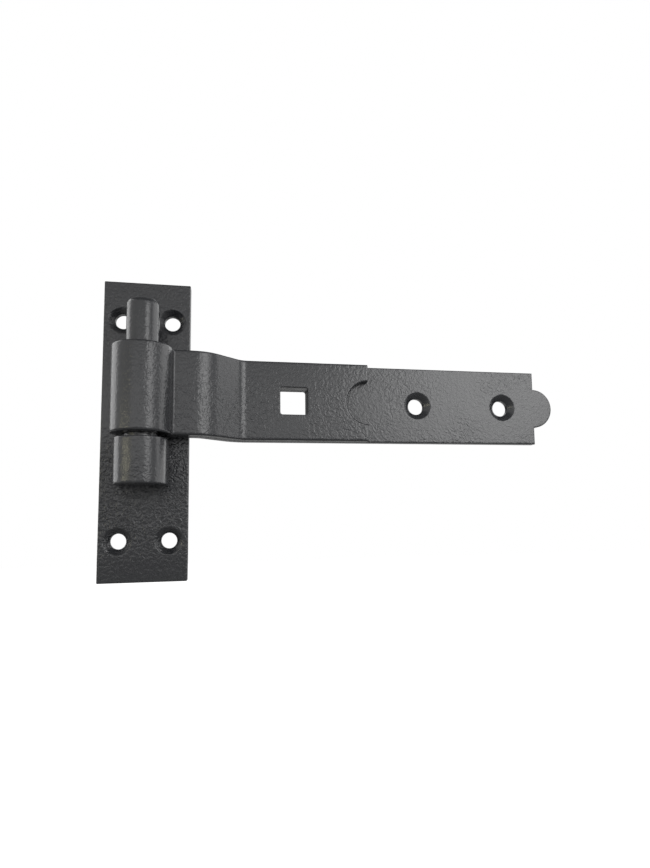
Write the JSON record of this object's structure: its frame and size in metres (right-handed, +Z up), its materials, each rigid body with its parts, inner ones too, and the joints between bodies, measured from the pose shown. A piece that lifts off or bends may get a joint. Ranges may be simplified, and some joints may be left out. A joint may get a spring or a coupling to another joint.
{
  "type": "hook and band hinge",
  "caption": "Cranked hook and band gate hinge: a screw-on plate with an upright pin, and a folded steel strap, rolled into an eye at one end, that swings on it.",
  "frame": {"origin": "centre of the hook plate's back face, which lies on the post", "axes": "+X along the closed strap, +Y out of the plate's back face into the post, +Z up the pin"},
  "size_m": [0.2058, 0.0364, 0.125],
  "materials": {
    "hammered_black_paint": "black hammered gloss paint"
  },
  "bodies": {
    "hook": {"hook_plate": "hammered_black_paint", "hook_cup": "hammered_black_paint", "hook_pin": "hammered_black_paint"},
    "band": {"band": "hammered_black_paint"}
  },
  "joints": [
    {"name": "band_swing", "type": "hinge", "parent": "hook", "child": "band", "pos_m": [0, -0.0175, 0.0137], "axis": [0, 0, -1], "range_deg": [0, 180]}
  ]
}
